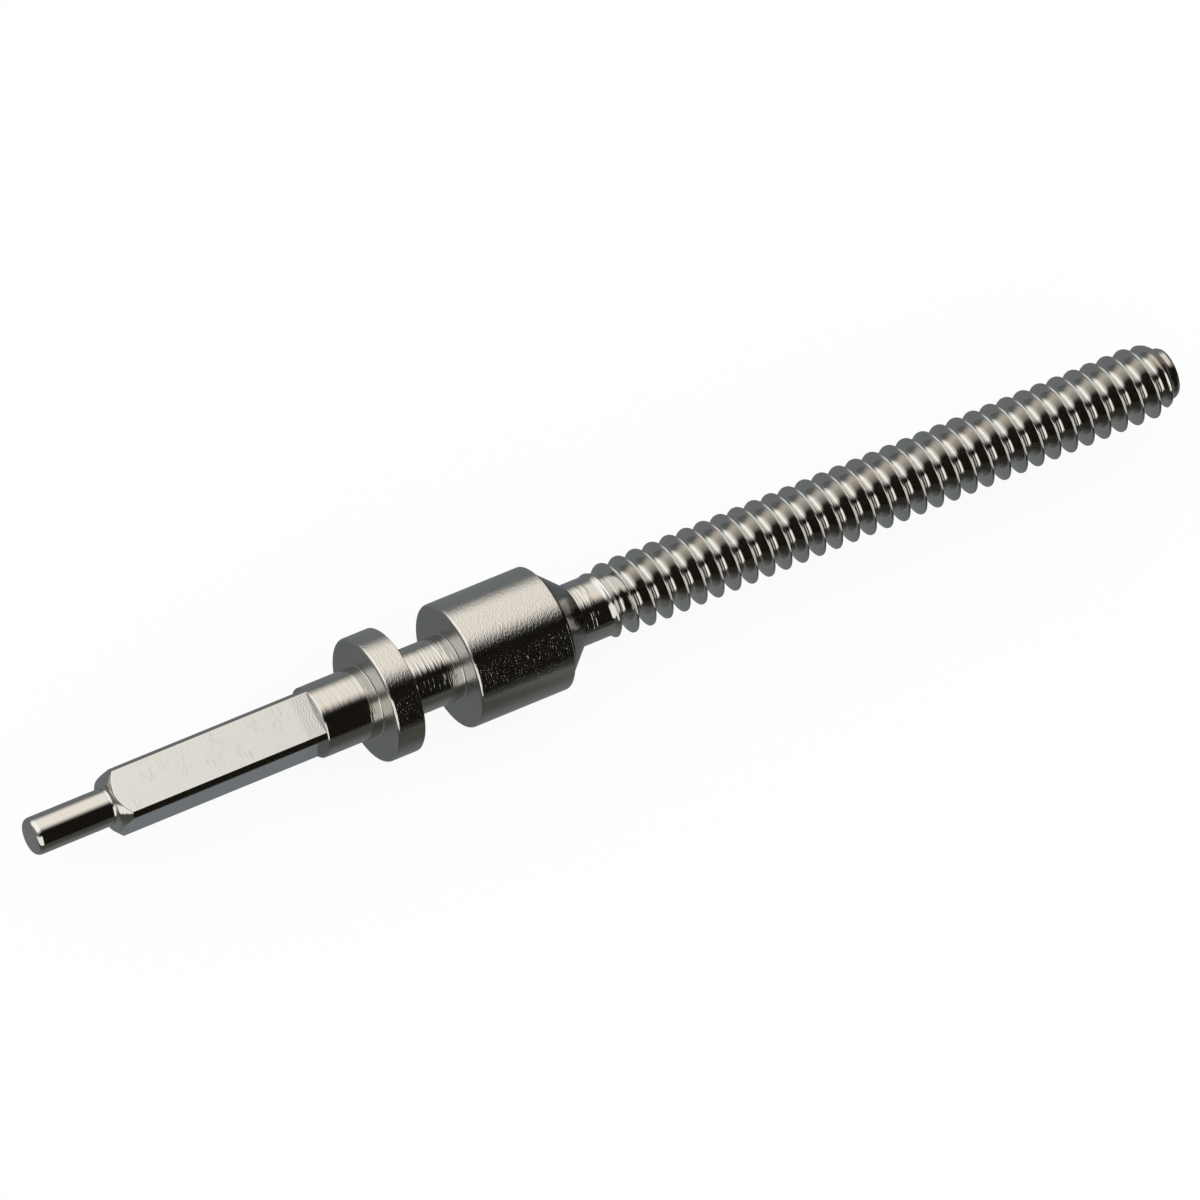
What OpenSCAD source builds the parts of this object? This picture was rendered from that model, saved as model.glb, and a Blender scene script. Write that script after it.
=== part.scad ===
// Winding stem of a mechanical wristwatch, with setting-lever groove, sliding-pinion square and crown thread.
// One piece of hardened steel bar: the outline is turned, four flats are milled, and the thread is rolled.
// The stem lies along X. The crown screws on at +X, and the front pilot points to -X.
// The origin is the middle of the hub, on the axis. Two of the square's flats face +Z and -Z.

/* [Front pilot] */
// Diameter of the pilot that turns in the main plate's inner hole
pilot_d = 0.445; // [0.35:0.005:0.55]
// Length of the pilot, from its tip to the shoulder
pilot_len = 1.00; // [0.6:0.02:1.6]
// Bevel round the pilot's tip
pilot_bevel = 0.05; // [0.01:0.01:0.1]
// Fillet where the pilot meets the shoulder
pilot_fillet = 0.03; // [0.01:0.005:0.05]

/* [Square] */
// Width across the square's flats, which drive the sliding pinion
square_across = 0.645; // [0.61:0.005:0.7]
// Length of the square, from the shoulder to the end of the flats
square_len = 2.62; // [1.4:0.02:4]
// Bevel of the shoulder at the square's front end
square_bevel = 0.11; // [0.04:0.01:0.13]

/* [Pinion seat] */
// Diameter of the seat that the winding pinion turns on, and of the bar that the square is cut from
seat_d = 0.845; // [0.75:0.005:0.89]
// Length of the seat, from the end of the flats to the flange
seat_len = 0.71; // [0.4:0.01:1.2]

/* [Flange] */
// Diameter of the flange in front of the setting-lever groove
flange_d = 1.49; // [1.1:0.01:1.9]
// Thickness of the flange
flange_len = 0.36; // [0.2:0.01:0.6]

/* [Setting-lever groove] */
// Diameter of the groove's floor
groove_d = 0.785; // [0.6:0.005:0.95]
// Width of the groove, which the setting lever's stud runs in
groove_len = 0.73; // [0.4:0.01:1.1]

/* [Hub] */
// Diameter of the hub that turns in the main plate
hub_d = 1.49; // [1.45:0.01:1.9]
// Length of the hub
hub_len = 1.23; // [0.6:0.01:2]
// Bevel on the front edges of the hub and the flange
front_bevel = 0.03; // [0.01:0.005:0.06]
// Broken edge at the back of the hub and the flange
back_bevel = 0.01; // [0.005:0.005:0.03]

/* [Neck] */
// Diameter of the neck, which is the blank that the thread is rolled on
neck_d = 0.75; // [0.65:0.01:0.82]
// Length of the neck between the cone and the thread's run-out
neck_len = 0.36; // [0.15:0.01:0.8]
// Diameter of the cone behind the hub at its large end
cone_d = 1.38; // [1.0:0.01:1.4]
// Length of the cone
cone_len = 0.36; // [0.2:0.01:0.6]

/* [Crown thread] */
// Diameter over the thread's crests
thread_d = 0.885; // [0.85:0.005:0.95]
// Length of the thread, with its run-out and its bevelled end
thread_len = 7.62; // [3:0.02:12]
// Diameter at the bottom of the thread's grooves
root_d = 0.62; // [0.58:0.005:0.72]
// Distance from one turn of the thread to the next
pitch = 0.225; // [0.2:0.005:0.3]
// Width of the thread's flat crest
crest_width = 0.028; // [0.01:0.002:0.05]
// Angle between the two flanks of a groove, in degrees
flank_angle = 60; // [50:1:70]
// Length of the run-out, where the thread rises from the neck
runout_len = 0.16; // [0.08:0.01:0.3]
// Diameter of the stem's end face
end_d = 0.585; // [0.4:0.005:0.7]
// Length of the bevel at the thread's end
end_bevel_len = 0.25; // [0.1:0.01:0.4]

/* [Hidden] */

// Steps in the quarter arc of the pilot's fillet
fillet_steps = 6;
// How far a milling cutter stands clear of the bar
cutter_clear = 0.5;
// Steps in one turn of the thread
thread_steps = 24;
// How far before the run-out the plain neck ends. The thread's blank reaches as far again into the neck.
thread_lap = 0.135;
// How much less the blank's radius is than the neck's
thread_clear = 0.002;
// Most of the pitch, less the crest, that one flank of the thread may take
flank_share = 0.45;

// Places of the steps along X
hub_front = -hub_len / 2;
hub_back = hub_len / 2;
flange_back = hub_front - groove_len;
flange_front = flange_back - flange_len;
square_end = flange_front - seat_len;
shoulder = square_end - square_len;
pilot_tip = shoulder - pilot_len;
cone_end = hub_back + cone_len;
thread_start = cone_end + neck_len;
thread_end = thread_start + thread_len;
neck_end = thread_start - thread_lap;
thread_front = neck_end - thread_lap;

// Each outline below is a list of [radius, place along X] points, from the front of its part to the back.

// Points of a hollow quarter arc that leads from the pilot out to the shoulder's face
function fillet_points(radius, size, place) = [
    for (step = [0 : fillet_steps])
        let (turn = 90 * step / fillet_steps)
        [radius + size * (1 - cos(turn)), place - size * (1 - sin(turn))]
];

// A disc of the given diameter with a bevel on each rim
function disc_points(diameter, front, back) = [
    [diameter / 2 - front_bevel, front],
    [diameter / 2, front + front_bevel],
    [diameter / 2, back - back_bevel],
    [diameter / 2 - back_bevel, back]
];

pilot_points = concat(
    [[0, pilot_tip], [pilot_d / 2 - pilot_bevel, pilot_tip], [pilot_d / 2, pilot_tip + pilot_bevel]],
    fillet_points(pilot_d / 2, pilot_fillet, shoulder)
);

square_blank_points = [
    [seat_d / 2 - square_bevel, shoulder],
    [seat_d / 2, shoulder + square_bevel]
];

seat_points = [[seat_d / 2, flange_front]];

groove_points = [[groove_d / 2, flange_back], [groove_d / 2, hub_front]];

neck_points = [[cone_d / 2, hub_back], [neck_d / 2, cone_end], [neck_d / 2, neck_end], [0, neck_end]];

// The stem as it leaves the lathe, up to the thread
module turned_blank() {
    rotate([0, 90, 0])
        rotate_extrude()
            polygon(concat(
                pilot_points,
                square_blank_points,
                seat_points,
                disc_points(flange_d, flange_front, flange_back),
                groove_points,
                disc_points(hub_d, hub_front, hub_back),
                neck_points
            ));
}

// The metal that a cutter takes off one side of the bar, from the front up to the end of the square
module flat_cut() {
    cut_width = seat_d + 2 * cutter_clear;
    cut_depth = seat_d / 2 - square_across / 2 + cutter_clear;
    translate([shoulder - cutter_clear, -cut_width / 2, square_across / 2])
        cube([square_len + cutter_clear, cut_width, cut_depth]);
}

// The thread is a skin of rows. Each row is a helix that one corner of the thread's outline draws, and
// the rows follow each other along X as the outline repeats from turn to turn.

flank_run = min((thread_d - root_d) / 2 * tan(flank_angle / 2), (pitch - crest_width) * flank_share);

// One pitch of the thread's outline, as [distance along X, radius] corners
outline = [
    [0, thread_d / 2],
    [crest_width, thread_d / 2],
    [crest_width + flank_run, root_d / 2],
    [pitch - flank_run, root_d / 2]
];

// The rows start a turn before the blank's front and end a turn behind the stem's end
turns = ceil((thread_end - thread_front) / pitch) + 2;
rows = turns * len(outline);
tip_r = min(end_d, root_d) / 2;

// Radius that a corner of the outline has at a place along X, between the blank, the run-out and the bevel
function thread_radius(corner_r, place) =
    let (blank_r = neck_d / 2 - thread_clear)
    let (risen = min(max((place - thread_start) / runout_len, 0), 1))
    let (bevel_r = tip_r + (thread_d / 2 - tip_r) * (thread_end - place) / end_bevel_len)
    place >= thread_end ? tip_r : min(blank_r + (corner_r - blank_r) * risen, bevel_r);

// A point of a row, held between the thread's two ends. The thread is right-handed.
function thread_point(row, step) =
    let (corner = outline[row % len(outline)])
    let (turn = floor(row / len(outline)) - 1 + step / thread_steps)
    let (place = min(max(thread_front + turn * pitch + corner[0], thread_front), thread_end))
    let (radius = thread_radius(corner[1], place))
    let (angle = 360 * step / thread_steps)
    [place, radius * cos(angle), radius * sin(angle)];

// Number of a point in the skin's list. A full turn along a row leads to the same corner, one turn on.
function point_number(row, step) =
    step < thread_steps ? step * rows + min(row, rows - 1) : point_number(row + len(outline), 0);

// The two triangles between one row and the next, less any that the thread's ends squeeze to nothing
function skin(points, row, step) =
    let (a = point_number(row, step))
    let (b = point_number(row + 1, step))
    let (c = point_number(row + 1, step + 1))
    let (d = point_number(row, step + 1))
    [
        for (face = [[a, b, c], [a, c, d]])
            let (p = points[face[0]], q = points[face[1]], r = points[face[2]])
            if (p != q && q != r && r != p)
                face
    ];

module thread() {
    points = [for (step = [0 : thread_steps - 1], row = [0 : rows - 1]) thread_point(row, step)];
    sides = [for (step = [0 : thread_steps - 1], row = [0 : rows - 2]) each skin(points, row, step)];
    front = [for (step = [0 : thread_steps - 1]) point_number(0, step)];
    back = [for (step = [thread_steps - 1 : -1 : 0]) point_number(rows - 1, step)];
    polyhedron(points, concat(sides, [front, back]));
}

module stem() {
    color([0.74, 0.72, 0.69])
        union() {
            difference() {
                turned_blank();
                for (side = [0 : 3])
                    rotate([90 * side, 0, 0])
                        flat_cut();
            }
            thread();
        }
}

stem();
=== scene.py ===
import math

import bpy
from mathutils import Matrix, Vector


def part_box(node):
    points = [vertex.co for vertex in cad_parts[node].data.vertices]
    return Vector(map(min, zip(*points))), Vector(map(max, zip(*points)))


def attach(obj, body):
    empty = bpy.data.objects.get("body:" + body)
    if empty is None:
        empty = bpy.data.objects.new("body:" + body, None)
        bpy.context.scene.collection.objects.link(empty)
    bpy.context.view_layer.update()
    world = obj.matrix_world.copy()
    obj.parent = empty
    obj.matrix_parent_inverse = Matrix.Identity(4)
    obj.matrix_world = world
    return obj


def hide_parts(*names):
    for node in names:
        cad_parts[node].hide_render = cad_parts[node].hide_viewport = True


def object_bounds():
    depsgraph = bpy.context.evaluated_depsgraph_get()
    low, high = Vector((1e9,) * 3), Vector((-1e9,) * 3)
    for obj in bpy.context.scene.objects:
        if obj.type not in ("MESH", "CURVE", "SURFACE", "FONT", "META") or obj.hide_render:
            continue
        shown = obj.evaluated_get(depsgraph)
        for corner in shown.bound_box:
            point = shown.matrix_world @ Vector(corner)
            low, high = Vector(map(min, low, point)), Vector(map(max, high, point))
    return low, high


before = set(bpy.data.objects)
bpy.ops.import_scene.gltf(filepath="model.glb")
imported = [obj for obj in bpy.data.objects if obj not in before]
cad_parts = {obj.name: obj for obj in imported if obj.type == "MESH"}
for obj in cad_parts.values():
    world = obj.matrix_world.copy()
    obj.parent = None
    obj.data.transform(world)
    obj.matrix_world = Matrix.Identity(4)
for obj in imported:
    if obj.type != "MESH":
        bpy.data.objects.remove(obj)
cad_low, cad_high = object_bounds()
stem_low, stem_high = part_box("stem")
MM = 0.001


# The camera looks down on the stem from the pilot's side, almost square to its upper flat.
# tilt is the angle between its line of sight and a plane square to the stem, roll is how far the
# flats are turned away from it, and lean is the stem's slope across the picture.
tilt = math.radians(22.0)
roll = math.radians(14.7)
lean = math.radians(22.271)
target = Vector((1.405, 0, 0)) * MM
aim_along = -0.0066 * MM
aim_up = 0.0462 * MM
camera_distance = 197 * MM
focal_length = 522.3
sensor_width = 36
near_clip = 10 * MM
far_clip = 10

toward = Vector((0, -math.sin(roll), math.cos(roll)))
picture_up = Vector((0, math.cos(roll), math.sin(roll)))
stem_axis = Vector((1, 0, 0))
along = math.cos(tilt) * stem_axis + math.sin(tilt) * toward
back = math.cos(tilt) * toward - math.sin(tilt) * stem_axis
right = math.cos(lean) * along - math.sin(lean) * picture_up
up = math.sin(lean) * along + math.cos(lean) * picture_up
eye = target + aim_along * along + aim_up * picture_up + camera_distance * back
bpy.ops.object.camera_add(location=eye)
camera = bpy.context.object
camera.rotation_euler = Matrix((right, up, back)).transposed().to_euler()
camera.data.sensor_width = sensor_width
camera.data.lens = focal_length
camera.data.clip_start = near_clip
camera.data.clip_end = far_clip
bpy.context.scene.camera = camera


# The stem is one piece of hardened steel. It starts as a bar that a lathe turns to its outline, from the
# pilot's tip to the neck. A ring of points is drawn out along the bar and sized at each step, as the
# tool's path is, and close pairs of rings beside each corner keep the long walls straight in the light.
ring_points = 96
hold = 0.003 * MM
fillet_steps = 5
corner_steps = 4

tip_face_r = 0.173 * MM
tip_round = 0.07 * MM
pilot_r = 0.2225 * MM
pilot_length = 1.0 * MM
root_fillet = 0.033 * MM
shoulder_face_r = 0.31 * MM
land_r = 0.418 * MM
square_length = 2.62 * MM
seat_lead = 0.012 * MM
seat_r = 0.4225 * MM
seat_length = 0.71 * MM
corner_fillet = 0.014 * MM
flange_r = 0.745 * MM
flange_width = 0.36 * MM
front_round = 0.031 * MM
back_bevel = 0.01 * MM
groove_r = 0.3925 * MM
groove_width = 0.73 * MM
hub_r = 0.745 * MM
hub_length = 1.23 * MM
cone_r = 0.69 * MM
cone_lip = 0.055 * MM
cone_lip_r = 0.66 * MM
cone_length = 0.36 * MM
neck_r = 0.375 * MM
neck_length = 0.2 * MM

pilot_tip = stem_low.x
shoulder = pilot_tip + pilot_length
square_end = shoulder + square_length
flange_front = square_end + seat_length
flange_back = flange_front + flange_width
hub_front = flange_back + groove_width
hub_back = hub_front + hub_length
cone_end = hub_back + cone_length
neck_end = cone_end + neck_length


class Lathe:
    """Draws the selected ring of points out along X, and sizes it, step by step."""

    def __init__(self, place, radius):
        self.place = place
        self.radius = radius

    def ring(self, place, radius):
        bpy.ops.mesh.extrude_region_move(TRANSFORM_OT_translate={"value": (place - self.place, 0, 0)})
        growth = radius / self.radius
        bpy.ops.transform.resize(value=(1, growth, growth), center_override=(place, 0, 0))
        self.place = place
        self.radius = radius

    def wall(self, place, radius):
        """A straight wall, cylinder or face to the next corner, with a holding ring at each end."""
        start = Vector((self.place, self.radius))
        end = Vector((place, radius))
        length = (end - start).length
        inset = min(hold, length / 4) / length
        for share in (inset, 1 - inset, 1):
            self.ring(*start.lerp(end, share))

    def arc(self, place, radius, along_first, steps=6):
        """A quarter round to the next corner, which starts along the bar or across it."""
        start = Vector((self.place, self.radius))
        reach = Vector((place, radius)) - start
        for step in range(1, steps + 1):
            turn = math.pi / 2 * step / steps
            along_share, across_share = 1 - math.cos(turn), math.sin(turn)
            if along_first:
                along_share, across_share = math.sin(turn), 1 - math.cos(turn)
            self.ring(start.x + reach.x * along_share, start.y + reach.y * across_share)


bpy.ops.object.select_all(action="DESELECT")
bpy.ops.mesh.primitive_circle_add(
    vertices=ring_points,
    radius=tip_face_r,
    fill_type="NGON",
    location=(pilot_tip, 0, 0),
    rotation=(0, math.pi / 2, 0),
)
stem = bpy.context.object
stem.name = "winding_stem"
bpy.ops.object.transform_apply(location=True, rotation=True, scale=True)
bpy.ops.object.mode_set(mode="EDIT")
bpy.ops.mesh.select_all(action="SELECT")
lathe = Lathe(pilot_tip, tip_face_r)
lathe.arc(pilot_tip + tip_round, pilot_r, along_first=False)
lathe.wall(shoulder - root_fillet, pilot_r)
lathe.arc(shoulder, pilot_r + root_fillet, along_first=True, steps=fillet_steps)
lathe.wall(shoulder, shoulder_face_r)
lathe.wall(shoulder + land_r - shoulder_face_r, land_r)
lathe.wall(square_end, land_r)
lathe.wall(square_end + seat_lead, seat_r)
lathe.wall(flange_front - corner_fillet, seat_r)
lathe.arc(flange_front, seat_r + corner_fillet, along_first=True, steps=corner_steps)
lathe.wall(flange_front, flange_r - front_round)
lathe.arc(flange_front + front_round, flange_r, along_first=False)
lathe.wall(flange_back - back_bevel, flange_r)
lathe.wall(flange_back, flange_r - back_bevel)
lathe.wall(flange_back, groove_r + corner_fillet)
lathe.arc(flange_back + corner_fillet, groove_r, along_first=False, steps=corner_steps)
lathe.wall(hub_front - corner_fillet, groove_r)
lathe.arc(hub_front, groove_r + corner_fillet, along_first=True, steps=corner_steps)
lathe.wall(hub_front, hub_r - front_round)
lathe.arc(hub_front + front_round, hub_r, along_first=False)
lathe.wall(hub_back - back_bevel, hub_r)
lathe.wall(hub_back, hub_r - back_bevel)
lathe.wall(hub_back, cone_r)
lathe.wall(hub_back + cone_lip, cone_lip_r)
lathe.wall(cone_end - corner_fillet, neck_r + corner_fillet)
lathe.wall(cone_end, neck_r)
lathe.wall(neck_end, neck_r)
bpy.ops.mesh.select_all(action="SELECT")
bpy.ops.mesh.normals_make_consistent(inside=False)
bpy.ops.object.mode_set(mode="OBJECT")


# Four flats are milled on the bar in front of the winding pinion's seat, to drive the sliding pinion.
# A cutter takes its cut from each side in turn, which leaves the bar's own round at the square's corners.
half_across = 0.3225 * MM
cutter_width = 2 * MM
cutter_lead = 0.5 * MM
flatness = 0.9999
burr_edge = 0.01 * MM

cut_length = square_end - shoulder + cutter_lead


def is_flat(face):
    """Whether a face of the stem is on one of the milled flats."""
    facing = max(abs(face.normal.y), abs(face.normal.z))
    return shoulder < face.center.x < square_end and facing > flatness


for side in range(4):
    bpy.ops.object.select_all(action="DESELECT")
    bpy.ops.mesh.primitive_cube_add(
        size=1,
        location=(square_end - cut_length / 2, 0, half_across + cutter_width / 2),
        scale=(cut_length, cutter_width, cutter_width),
    )
    cutter = bpy.context.object
    bpy.ops.object.transform_apply(location=True, rotation=True, scale=True)
    cutter.data.transform(Matrix.Rotation(math.pi / 2 * side, 4, "X"))
    cut = stem.modifiers.new("flat", "BOOLEAN")
    cut.operation = "DIFFERENCE"
    cut.solver = "EXACT"
    cut.object = cutter
    bpy.context.view_layer.objects.active = stem
    bpy.ops.object.modifier_apply(modifier=cut.name)
    bpy.data.objects.remove(cutter)

# The burr is taken off the flats' edges, which leaves a narrow bright line round each.
mesh = stem.data
flats = {key for face in mesh.polygons if is_flat(face) for key in face.edge_keys}
walls = {key for face in mesh.polygons if not is_flat(face) for key in face.edge_keys}
burrs = flats & walls
bpy.ops.object.mode_set(mode="EDIT")
bpy.ops.mesh.select_mode(type="EDGE")
bpy.ops.mesh.select_all(action="DESELECT")
bpy.ops.object.mode_set(mode="OBJECT")
for edge in mesh.edges:
    edge.select = edge.key in burrs
bpy.ops.object.mode_set(mode="EDIT")
bpy.ops.mesh.bevel(offset=burr_edge, segments=2, clamp_overlap=True)
bpy.ops.mesh.select_mode(type="VERT")
bpy.ops.object.mode_set(mode="OBJECT")


# The crown thread is rolled, not cut: dies press the neck in at the roots and raise it to the crests.
# One pitch of its profile is drawn as a line and screwed round the stem, a right-hand thread of
# 0.225 mm pitch. Its crest rises out of the neck over two turns, and the bevelled tip cuts it down again.
pitch = 0.225 * MM
flank_angle = math.radians(60)
crest_r = 0.4425 * MM
crest_half = 0.0085 * MM
crest_corner = 0.0105 * MM
seam_depth = 0.002 * MM
seam_shares = ((0, 1), (0.45, 0.4), (0.8, 0))
corner_shares = ((1.25, 0.16), (1.7, 0.68))
flank_shares = (0.15, 0.5, 0.85)
root_r = 0.303 * MM
root_round = 0.046 * MM
root_steps = 5
turn_steps = 88

first_crest = 1.593 * MM
first_crest_turn = math.radians(90) + roll
thread_front = neck_end + 0.06 * MM
crest_rise = (1.17 * MM, 1.62 * MM)
root_fall = (1.385 * MM, 1.5 * MM)
bevel_from = 8.64 * MM
bevel_slope = 0.34
tip_fall = (8.8 * MM, 8.875 * MM)
tip_front = 8.875 * MM
tip_length = 0.045 * MM
tip_r = 0.308 * MM
end_face_r = 0.288 * MM
same_point = 0.0002 * MM
fine = 0.0001 * MM


def smooth_step(value, low, high):
    share = min(max((value - low) / (high - low), 0), 1)
    return share * share * (3 - 2 * share)


def half_profile():
    """[distance from the crest's middle, radius] down one flank to the middle of the root."""
    # The metal that the dies raise meets in a shallow seam along the crest, between two round corners.
    points = [(crest_half * out, crest_r - seam_depth * drop) for out, drop in seam_shares]
    points += [(crest_half * out, crest_r - crest_corner * drop) for out, drop in corner_shares]
    centre = Vector((pitch / 2, root_r + root_round))
    arc = []
    for step in range(root_steps):
        turn = flank_angle * (1 - step / root_steps)
        arc.append((centre.x - root_round * math.sin(turn), centre.y - root_round * math.cos(turn)))
    crest_edge = Vector(points[-1])
    flank_end = Vector(arc[0])
    for share in flank_shares:
        points.append(tuple(crest_edge.lerp(flank_end, share)))
    return points + arc + [(pitch / 2, root_r)]


down = half_profile()
profile = [(pitch / 2 - place, radius) for place, radius in reversed(down)]
profile += [(pitch / 2 + place, radius) for place, radius in down[1:]]

turn_back = first_crest_turn / (2 * math.pi) * pitch
turns_before = math.ceil((first_crest - thread_front) / pitch) + 1
thread_from = first_crest - turn_back - pitch / 2 - turns_before * pitch
thread_turns = math.ceil((stem_high.x - thread_from) / pitch) + 1

# A small plane shrinks to the one point that draws the profile's line.
bpy.ops.object.select_all(action="DESELECT")
bpy.ops.mesh.primitive_plane_add(size=MM, location=(0, 0, 0))
thread = bpy.context.object
bpy.ops.object.mode_set(mode="EDIT")
bpy.ops.mesh.select_all(action="SELECT")
bpy.ops.mesh.merge(type="CENTER")
bpy.ops.transform.translate(value=(thread_from + profile[0][0], profile[0][1], 0))
for before, after in zip(profile, profile[1:]):
    bpy.ops.mesh.extrude_vertices_move(
        TRANSFORM_OT_translate={"value": (after[0] - before[0], after[1] - before[1], 0)}
    )
bpy.ops.object.mode_set(mode="OBJECT")
screw = thread.modifiers.new("rolled", "SCREW")
screw.axis = "X"
screw.angle = 2 * math.pi
screw.screw_offset = pitch
screw.iterations = thread_turns
screw.steps = turn_steps
screw.render_steps = turn_steps
bpy.ops.object.modifier_apply(modifier=screw.name)
bpy.ops.object.mode_set(mode="EDIT")
bpy.ops.mesh.select_all(action="SELECT")
bpy.ops.mesh.remove_doubles(threshold=same_point)
bpy.ops.object.mode_set(mode="OBJECT")

# What lies outside the neck rises out of it, what lies inside sinks in, and both are cut down at the tip.
for vertex in thread.data.vertices:
    place = vertex.co.x
    drawn_r = math.hypot(vertex.co.y, vertex.co.z)
    stretch = crest_rise if drawn_r > neck_r else root_fall
    grown = smooth_step(place, *stretch)
    radius = neck_r + (drawn_r - neck_r) * grown
    radius = min(radius, crest_r - (place - bevel_from) * bevel_slope)
    left = 1 - smooth_step(place, *tip_fall)
    radius = tip_r + (radius - tip_r) * left
    scale = radius / drawn_r
    vertex.co.y *= scale
    vertex.co.z *= scale

bpy.ops.object.mode_set(mode="EDIT")
bpy.ops.mesh.select_all(action="SELECT")
bpy.ops.mesh.bisect(plane_co=(thread_front, 0, 0), plane_no=(1, 0, 0), clear_inner=True, threshold=fine)
bpy.ops.mesh.select_all(action="SELECT")
bpy.ops.mesh.bisect(plane_co=(tip_front, 0, 0), plane_no=(1, 0, 0), clear_outer=True, threshold=fine)
lathe = Lathe(tip_front, tip_r)
lathe.wall(tip_front + tip_length, tip_r)
lathe.wall(stem_high.x, end_face_r)
bpy.ops.mesh.edge_face_add()
bpy.ops.object.mode_set(mode="OBJECT")


# Bar and thread are one piece of metal, so the neck's last ring is sewn to the thread's first one.
# Edges sharper than soft_angle stay crisp, and the flats stay flat in the light.
soft_angle = math.radians(32)
crosswise = 0.95

bpy.ops.object.select_all(action="DESELECT")
for piece in (thread, stem):
    piece.select_set(True)
bpy.context.view_layer.objects.active = stem
bpy.ops.object.join()
bpy.ops.object.mode_set(mode="EDIT")
bpy.ops.mesh.select_mode(type="FACE")
bpy.ops.mesh.select_all(action="DESELECT")
bpy.ops.object.mode_set(mode="OBJECT")
for face in stem.data.polygons:
    face.select = abs(face.center.x - neck_end) < hold / 2 and abs(face.normal.x) > crosswise
bpy.ops.object.mode_set(mode="EDIT")
bpy.ops.mesh.delete(type="ONLY_FACE")
bpy.ops.mesh.select_mode(type="EDGE")
bpy.ops.mesh.select_all(action="DESELECT")
bpy.ops.mesh.select_non_manifold()
bpy.ops.mesh.bridge_edge_loops()
bpy.ops.mesh.select_all(action="SELECT")
bpy.ops.mesh.dissolve_degenerate(threshold=fine)
bpy.ops.mesh.normals_make_consistent(inside=False)
bpy.ops.object.mode_set(mode="OBJECT")
bpy.ops.object.shade_smooth_by_angle(angle=soft_angle)
for face in stem.data.polygons:
    face.use_smooth = face.use_smooth and not is_flat(face)

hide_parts("stem")
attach(stem, "root")


# The steel is bare and bright, and each way of working it leaves its own finish. A finish is a roughness
# and a fine relief, which noise stretched along or round the stem draws.
steel_colour = (0.68, 0.66, 0.63, 1)


class Value:
    """A number in a shader, on which the usual operators add Math nodes."""

    def __init__(self, tree, socket):
        self.tree = tree
        self.socket = socket

    def maths(self, operation, *others):
        return self.tree.add("ShaderNodeMath", {"operation": operation}, (self, *others))

    def __add__(self, other):
        return self.maths("ADD", other)

    def __sub__(self, other):
        return self.maths("SUBTRACT", other)

    def __rsub__(self, other):
        return self.tree.add("ShaderNodeMath", {"operation": "SUBTRACT"}, (other, self))

    def __mul__(self, other):
        return self.maths("MULTIPLY", other)

    __radd__ = __add__
    __rmul__ = __mul__

    def rises(self, low, high):
        """0 below low, 1 above high, and a smooth step between."""
        settings = {"interpolation_type": "SMOOTHSTEP"}
        values = {"Value": self, "From Min": low, "From Max": high}
        return self.tree.add("ShaderNodeMapRange", settings, values)


class Tree:
    """A material's nodes."""

    def __init__(self, name):
        self.material = bpy.data.materials.new(name)
        self.material.use_nodes = True
        self.nodes = self.material.node_tree.nodes
        self.links = self.material.node_tree.links
        self.shader = self.nodes["Principled BSDF"]
        self.surface = self.nodes["Material Output"].inputs["Surface"]

    def add(self, kind, settings, values, output=0):
        """A new node with its settings and its sockets' values or links, given by name or in order."""
        node = self.nodes.new(kind)
        for name, setting in settings.items():
            setattr(node, name, setting)
        pairs = values.items() if isinstance(values, dict) else enumerate(values)
        for key, value in pairs:
            self.set(node.inputs[key], value)
        return Value(self, node.outputs[output])

    def set(self, socket, value):
        if isinstance(value, Value):
            self.links.new(value.socket, socket)
        else:
            socket.default_value = value

    def place(self):
        return self.add("ShaderNodeTexCoord", {}, {}, "Object")

    def axes(self, vector):
        split = self.add("ShaderNodeSeparateXYZ", {}, (vector,))
        return [Value(self, socket) for socket in split.socket.node.outputs]

    def noise(self, sizes):
        """Noise whose grains have the given sizes, in millimetres, along X, Y and Z."""
        grains = [1 / (size * MM) for size in sizes]
        scaled = self.add("ShaderNodeVectorMath", {"operation": "MULTIPLY"}, (self.place(), grains))
        return self.add("ShaderNodeTexNoise", {}, {"Vector": scaled, "Scale": 1.0}, "Fac")

    def blend(self, share, first, second):
        """The first colour where share is 0, the second where it is 1."""
        # The node has sockets for numbers and vectors too, and these are its colour sockets.
        first_socket, second_socket, result_socket = 6, 7, 2
        values = {"Factor": share, first_socket: first, second_socket: second}
        return self.add("ShaderNodeMix", {"data_type": "RGBA"}, values, result_socket)


def steel(colour, roughness, height):
    """Bright steel whose surface is raised by the given height, in metres."""
    tree = height.tree
    tree.set(tree.shader.inputs["Base Color"], colour)
    tree.set(tree.shader.inputs["Metallic"], 1)
    tree.set(tree.shader.inputs["Roughness"], roughness)
    bump = tree.add("ShaderNodeBump", {}, {"Strength": 1.0, "Distance": 1.0, "Height": height}, "Normal")
    tree.set(tree.shader.inputs["Normal"], bump)
    return tree.material


# The rims of the flange and the hub are ground, which leaves a fine grain, a little deeper on the hub.
ground_roughness = 0.08
grain_sizes = (0.02, 0.034, 0.034)
grain_height = 0.0019 * MM
more_on_hub = 0.0004 * MM
stroke_sizes = (0.012, 0.05, 0.05)
stroke_height = 0.0012 * MM

tree = Tree("ground_steel")
grain = tree.noise(grain_sizes)
strokes = tree.noise(stroke_sizes)
on_hub = tree.axes(tree.place())[0].rises(flange_back, hub_front)
height = grain * (on_hub * more_on_hub + grain_height) + strokes * stroke_height
ground = steel(steel_colour, ground_roughness, height)

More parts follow.
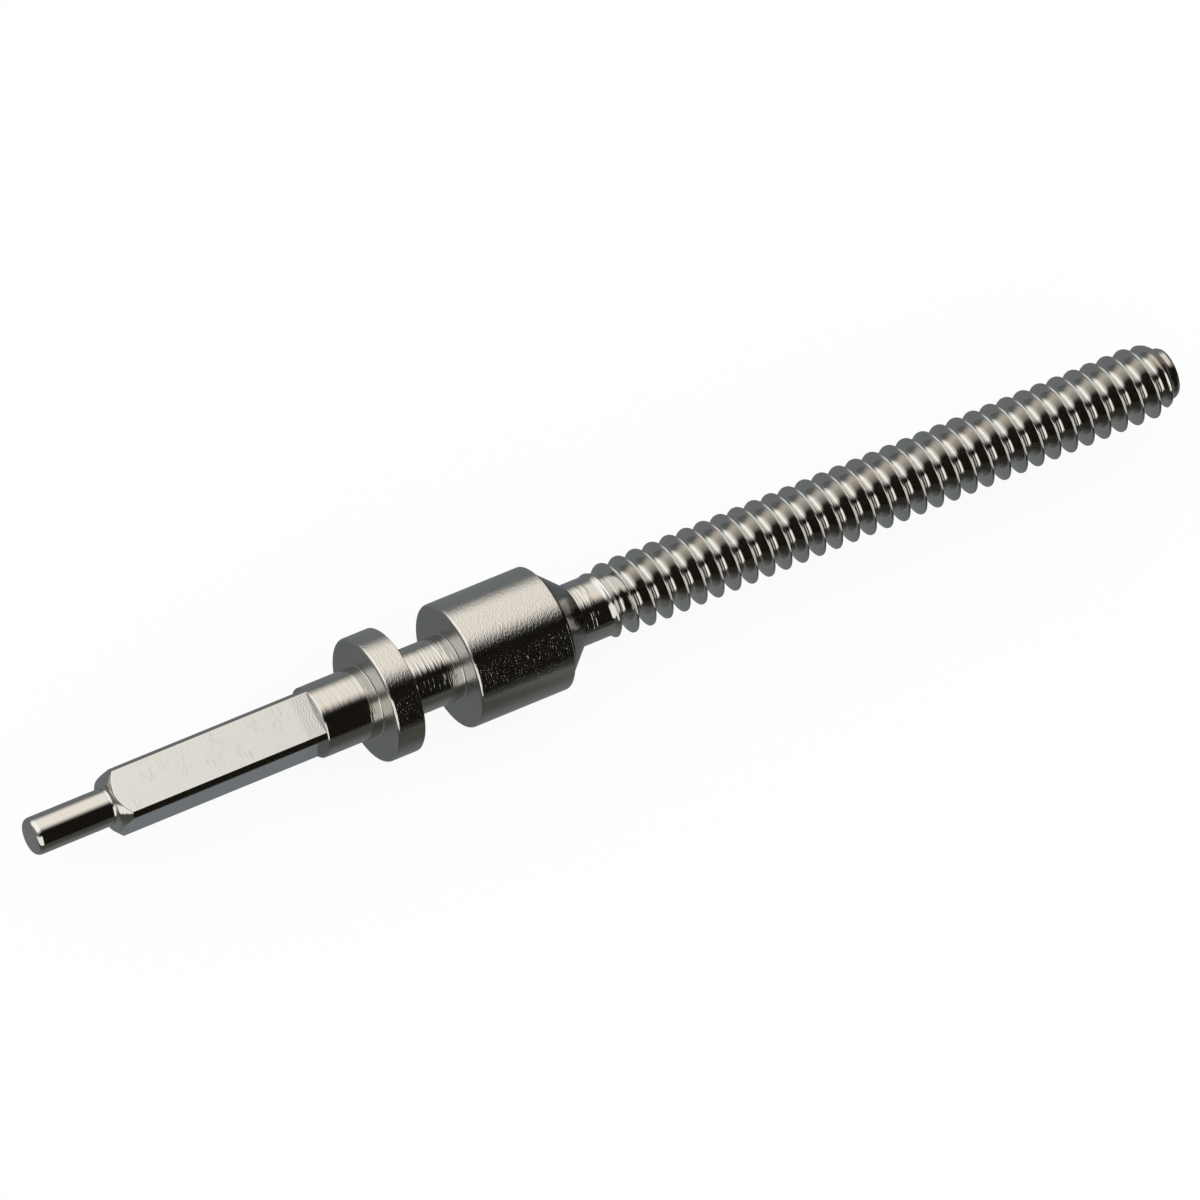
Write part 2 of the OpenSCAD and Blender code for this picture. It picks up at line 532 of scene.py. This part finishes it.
# The seat, the groove and the neck keep the rings of the lathe's tool, and they are deeper to the rear.
turned_roughness = 0.09
ring_sizes = (0.035, 0.35, 0.35)
ring_height = 0.0019 * MM
more_from_groove = 0.0036 * MM
groove_lead = 0.1 * MM
more_on_neck = 0.0038 * MM
neck_lead = 0.02 * MM
line_sizes = (0.018, 0.1, 0.1)
line_height = 0.0007 * MM

tree = Tree("turned_steel")
along_x = tree.axes(tree.place())[0]
from_groove = along_x.rises(flange_back, flange_back + groove_lead) * more_from_groove
on_neck = along_x.rises(cone_end + neck_lead, neck_end) * more_on_neck
rings = tree.noise(ring_sizes)
fine_lines = tree.noise(line_sizes)
height = rings * (from_groove + on_neck + ring_height) + fine_lines * line_height
turned = steel(steel_colour, turned_roughness, height)

# The faces across the bar come duller from the tool, and their colour is darker than the steel's: a
# painted shade for their dim look.
face_shade_colour = (0.5, 0.49, 0.46, 1)
faced_roughness = 0.3
face_grain_sizes = (1, 0.04, 0.04)
face_grain_height = 0.0022 * MM

tree = Tree("faced_steel")
faced = steel(face_shade_colour, faced_roughness, tree.noise(face_grain_sizes) * face_grain_height)

# The cone behind the hub is turned too, but not polished, and its steel is given a darker colour than the
# rest.
cone_colour = (0.3, 0.29, 0.27, 1)
cone_roughness = 0.13
cone_ring_sizes = (0.03, 0.2, 0.2)
cone_ring_height = 0.0016 * MM

tree = Tree("cone_steel")
cone = steel(cone_colour, cone_roughness, tree.noise(cone_ring_sizes) * cone_ring_height)

# The flats show a few rub marks, and wavy lines where the milling cutter leaves the bar, near the seat.
milled_colour = (0.72, 0.73, 0.728, 1)
worn_colour = (0.36, 0.36, 0.37, 1)
milled_roughness = 0.1
rub_sizes = (0.016, 0.12, 0.12)
rub_height = 0.0002 * MM
rub_edge = (0.52, 0.72)
rub_wear = 0.4
patch_sizes = (0.2, 0.3, 0.3)
patch_edge = (0.42, 0.62)
wave_pitch = 0.034 * MM
wave_edge = (0.1, 1)
wave_wear = 0.75
bend_sizes = (0.4, 0.07, 0.07)
bend_reach = 0.16 * MM
waves_from = (square_end - 0.27 * MM, square_end - 0.18 * MM)

tree = Tree("milled_steel")
along_x = tree.axes(tree.place())[0]
rubs = tree.noise(rub_sizes)
patches = tree.noise(patch_sizes)
bend = tree.noise(bend_sizes)
waves = ((along_x + bend * bend_reach) * (2 * math.pi / wave_pitch)).maths("SINE").rises(*wave_edge)
near_seat = along_x.rises(*waves_from)
worn = rubs.rises(*rub_edge) * patches.rises(*patch_edge) * rub_wear + waves * near_seat * wave_wear
colour = tree.blend(worn, milled_colour, worn_colour)
milled = steel(colour, milled_roughness, rubs * rub_height)

# The pilot turns in its hole in the main plate, so it is burnished.
burnished_roughness = 0.08
burnish_sizes = (0.02, 0.5, 0.5)
burnish_height = 0.0002 * MM

tree = Tree("burnished_steel")
burnished = steel(steel_colour, burnished_roughness, tree.noise(burnish_sizes) * burnish_height)

# The dies leave the thread smooth.
rolled_roughness = 0.1
rolling_sizes = (0.03, 0.1, 0.1)
rolling_height = 0.0003 * MM

tree = Tree("rolled_steel")
rolled = steel(steel_colour, rolled_roughness, tree.noise(rolling_sizes) * rolling_height)

# Each face gets the finish of its part of the stem. A rim's faces look away from the stem, and lengthwise
# is the most that their normals lean towards its axis. The shoulder's own face stays as it was turned.
lengthwise = 0.5
past_pilot = shoulder - root_fillet
past_shoulder = shoulder + hold
past_neck = neck_end + hold

stem.data.materials.clear()
finishes = [turned, faced, cone, ground, milled, burnished, rolled]
for finish in finishes:
    stem.data.materials.append(finish)
for face in stem.data.polygons:
    place = face.center
    radius = math.hypot(place.y, place.z)
    slope = abs(face.normal.x)
    finish = turned
    if place.x < past_pilot:
        finish = burnished
    elif place.x > past_neck:
        finish = rolled
    elif radius > hub_r - front_round and slope < lengthwise:
        finish = ground
    elif slope > crosswise and place.x > past_shoulder:
        finish = faced
    elif hub_back < place.x < cone_end - corner_fillet:
        finish = cone
    elif is_flat(face):
        finish = milled
    face.material_index = finishes.index(finish)


# The stem lies on white paper, in a white room that lights it from all sides and leaves a soft shadow.
# Where the paper is seen, by the camera or in the steel, most of its white is its own glow.
paper_size = 4
paper_gap = 0.002 * MM
paper_glow = 0.9
white = (1, 1, 1, 1)

bpy.ops.object.select_all(action="DESELECT")
bpy.ops.mesh.primitive_plane_add(size=paper_size, location=(0, 0, cad_low.z - paper_gap))
paper = bpy.context.object
paper.name = "paper"

tree = Tree("white_paper")
tree.set(tree.shader.inputs["Base Color"], white)
tree.set(tree.shader.inputs["Specular IOR Level"], 0)
tree.set(tree.shader.inputs["Roughness"], 1)
rays = tree.add("ShaderNodeLightPath", {}, {}).socket.node
by_camera = Value(tree, rays.outputs["Is Camera Ray"])
by_gloss = Value(tree, rays.outputs["Is Glossy Ray"])
by_glass = Value(tree, rays.outputs["Is Transmission Ray"])
seen = by_camera.maths("MAXIMUM", by_gloss).maths("MAXIMUM", by_glass)
glowing = tree.add("ShaderNodeEmission", {}, {"Color": white, "Strength": 1.0})
shaded = Value(tree, tree.shader.outputs["BSDF"])
tree.set(tree.surface, tree.add("ShaderNodeMixShader", {}, (seen * paper_glow, shaded, glowing)))
paper.data.materials.append(tree.material)

room = bpy.data.worlds.new("room")
bpy.context.scene.world = room
room.use_nodes = True
room.node_tree.nodes["Background"].inputs["Color"].default_value = white


# Bright steel shows its surroundings, so a grey card lies under the stem, and a tent of cloth stands round
# it. Both are made for the steel alone, and neither hides the paper nor lights it. Neither is lit: each
# glows with its own colours, and the card's even grey is a painted glow, as a lit grey table would look.
card_size = 1.6
card_grey = (0.19, 0.205, 0.215, 1)
# Painted shadow of the stem on the card, near it and further off, beside the pilot, the hub and the
# thread.
pilot_side_near = (0.085, 0.088, 0.078, 1)
pilot_side_far = (0.062, 0.064, 0.054, 1)
hub_side_near = (0.17, 0.175, 0.165, 1)
hub_side_far = (0.12, 0.122, 0.112, 1)
thread_side_near = (0.05, 0.048, 0.042, 1)
thread_side_far = (0.04, 0.038, 0.032, 1)
shade_from = (0.4 * MM, 2.2 * MM)
far_shade_from = (1 * MM, 8 * MM)
hub_side_from = (0.4 * MM, 2.4 * MM)
thread_side_from = (2 * MM, 4 * MM)


def glow(tree, thing, colour):
    tree.set(tree.surface, tree.add("ShaderNodeEmission", {}, {"Color": colour, "Strength": 1.0}))
    tree.material.cycles.emission_sampling = "NONE"
    thing.data.materials.append(tree.material)


def only_for_reflections(thing):
    thing.visible_camera = False
    thing.visible_diffuse = False
    thing.visible_transmission = False
    thing.visible_shadow = False


bpy.ops.object.select_all(action="DESELECT")
bpy.ops.mesh.primitive_plane_add(size=card_size, location=(0, 0, cad_low.z))
card = bpy.context.object
card.name = "grey_card"
bpy.ops.object.transform_apply(location=True, rotation=True, scale=True)

tree = Tree("card")
along_x, along_y = tree.axes(tree.place())[:2]
# Painted shadow: the card darkens towards the camera, least beside the hub and most beside the thread.
towards_camera = along_y * -1
shade = towards_camera.rises(*shade_from)
far_shade = towards_camera.rises(*far_shade_from)
hub_side = along_x.rises(*hub_side_from)
thread_side = along_x.rises(*thread_side_from)
shade_near = tree.blend(hub_side, pilot_side_near, hub_side_near)
shade_near = tree.blend(thread_side, shade_near, thread_side_near)
shade_far = tree.blend(hub_side, pilot_side_far, hub_side_far)
shade_far = tree.blend(thread_side, shade_far, thread_side_far)
glow(tree, card, tree.blend(shade, card_grey, tree.blend(far_shade, shade_near, shade_far)))
only_for_reflections(card)

# Places on the tent go by along_x, from -1 at the pilot's end to 1 at the thread's, and by turn, the angle
# round the stem in degrees, from 0 overhead to 90 at +Y. The camera sees the ring of the tent at wall_ring
# in all the stem's long walls, and what lies to either side of that ring in its other faces.
tent_radius = 0.8
tent_segments = 64
tent_rings = 32
wall_ring = 0.375

cloth_grey = (0.205, 0.21, 0.205, 1)
pilot_cloth_grey = (0.19, 0.195, 0.195, 1)
pilot_cloth_warm = (0.34, 0.32, 0.29, 1)
cloth_grey_from = (-0.2, 0.1)
warm_from = (-0.1, 0.5)

gap_black = (0.011, 0.0095, 0.007, 1)
gap_foot = (-96, -86)
gap_top = (-14, 8)
gap_pilot_edge = (-0.6, -0.1)

end_black = (0.015, 0.014, 0.012, 1)
end_brown = (0.2, 0.16, 0.12, 1)
end_grey = (0.2, 0.205, 0.205, 1)
end_from = (0.62, 0.85)
brown_from = (20, 40)
grey_from = (50, 70)

panel_white = (1.13, 1.13, 1.06, 1)
panel_foot = (-94, -82)
panel_top = (-38, -27)
panel_thread_edge = (0.1, 0.2)
foot_slope_from = -0.45
foot_slope = 60

roof_tan = (1.13, 1.01, 0.88, 1)
roof_pale = (1.12, 1.05, 0.95, 1)
roof_white = (1.29, 1.31, 1.27, 1)
roof_pale_from = (5, 50)
roof_warm_from = (0.15, 0.45)
roof_front = (-6.5, 21.5)
roof_back = (60, 95)
roof_pilot_edge = (-0.78, -0.55)
roof_thread_edge = (0.28, 0.77)
near_slope = 40
near_reach = 0.3
far_slope = 90

bpy.ops.object.select_all(action="DESELECT")
bpy.ops.mesh.primitive_uv_sphere_add(segments=tent_segments, ring_count=tent_rings, radius=tent_radius)
tent = bpy.context.object
tent.name = "tent"

tree = Tree("tent_cloth")
direction = tree.add("ShaderNodeVectorMath", {"operation": "NORMALIZE"}, (tree.place(),))
along_x, along_y, along_z = tree.axes(direction)
turn = along_y.maths("ARCTAN2", along_z) * (180 / math.pi)
before_ring = (wall_ring - along_x).maths("MAXIMUM", 0.0).maths("MINIMUM", near_reach)
past_ring = (along_x - wall_ring).maths("MAXIMUM", 0.0)

# A bright roof hangs over the stem and behind it, a white panel stands in front, a dark gap parts the two,
# and the end beyond the thread is dark at the bottom.
roof = (turn + before_ring * near_slope - past_ring * far_slope).rises(*roof_front)
roof = roof * (1 - turn.rises(*roof_back))
roof = roof * along_x.rises(*roof_pilot_edge) * (1 - along_x.rises(*roof_thread_edge))
roof_colour = tree.blend(turn.rises(*roof_pale_from), roof_tan, roof_pale)
roof_colour = tree.blend(along_x.rises(*roof_warm_from), roof_white, roof_colour)

panel = (turn + (foot_slope_from - along_x).maths("MAXIMUM", 0.0) * foot_slope).rises(*panel_foot)
panel = panel * (1 - turn.rises(*panel_top)) * (1 - along_x.rises(*panel_thread_edge))

gap = turn.rises(*gap_foot) * (1 - (turn - past_ring * far_slope).rises(*gap_top))
gap = gap * along_x.rises(*gap_pilot_edge)

end_colour = tree.blend(turn.rises(*brown_from), end_black, end_brown)
end_colour = tree.blend(turn.rises(*grey_from), end_colour, end_grey)

cloth = tree.blend(along_y.rises(*warm_from), pilot_cloth_grey, pilot_cloth_warm)
cloth = tree.blend(along_x.rises(*cloth_grey_from), cloth, cloth_grey)
cloth = tree.blend(gap, cloth, gap_black)
cloth = tree.blend(along_x.rises(*end_from), cloth, end_colour)
cloth = tree.blend(panel, cloth, panel_white)
cloth = tree.blend(roof, cloth, roof_colour)
glow(tree, tent, cloth)
only_for_reflections(tent)

bpy.context.scene.view_settings.view_transform = "Standard"
